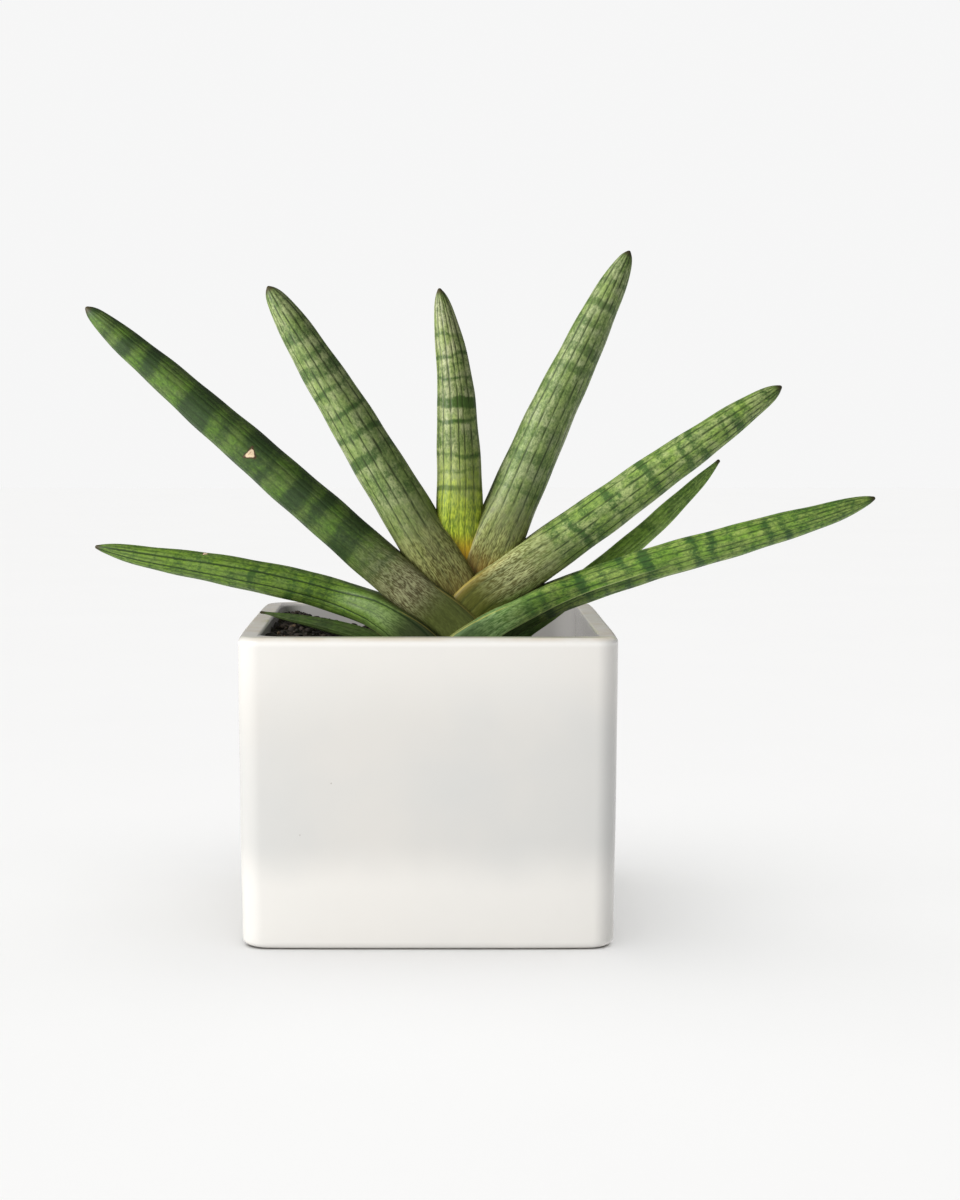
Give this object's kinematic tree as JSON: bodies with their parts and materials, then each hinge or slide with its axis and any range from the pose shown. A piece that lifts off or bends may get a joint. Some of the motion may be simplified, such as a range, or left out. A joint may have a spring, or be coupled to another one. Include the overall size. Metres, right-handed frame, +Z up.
{
  "type": "potted snake plant",
  "caption": "Snake plant with blunt round green leaves spread in a flat fan, growing in a square white glazed pot filled with dark soil.",
  "frame": {"origin": "centre of the pot's flat foot, on the surface that it stands on", "axes": "+Z up; +X to the right along the fan of leaves, the widest extent; +Y towards the back, so the fan's flat face looks to -Y"},
  "size_m": [0.2883, 0.132, 0.2442],
  "materials": {
    "pot_glaze": "glossy white glaze with a few dark pinholes and a cream tint at the rim",
    "soil": "moist granular potting mix",
    "rhizome": "dry woody rhizome, buried",
    "leaf_center": "waxy succulent leaf with darker cross-bands and thin sunken lines along it",
    "leaf_tall_right": "waxy succulent leaf with darker cross-bands and thin sunken lines along it",
    "leaf_tall_left": "waxy succulent leaf with darker cross-bands and thin sunken lines along it",
    "leaf_wide_right": "waxy succulent leaf with darker cross-bands and thin sunken lines along it",
    "leaf_wide_left": "waxy succulent leaf with darker cross-bands and thin sunken lines along it",
    "leaf_low_right": "waxy succulent leaf with darker cross-bands and thin sunken lines along it",
    "leaf_low_left": "waxy succulent leaf with darker cross-bands and thin sunken lines along it",
    "leaf_back_right": "waxy succulent leaf with darker cross-bands and thin sunken lines along it",
    "leaf_young_left": "waxy succulent leaf with darker cross-bands and thin sunken lines along it"
  },
  "bodies": {
    "root": {"pot": "pot_glaze", "soil": "soil", "rhizome": "rhizome", "leaf_center": "leaf_center", "leaf_tall_right": "leaf_tall_right", "leaf_tall_left": "leaf_tall_left", "leaf_wide_right": "leaf_wide_right", "leaf_wide_left": "leaf_wide_left", "leaf_low_right": "leaf_low_right", "leaf_low_left": "leaf_low_left", "leaf_back_right": "leaf_back_right", "leaf_young_left": "leaf_young_left"}
  },
  "joints": []
}
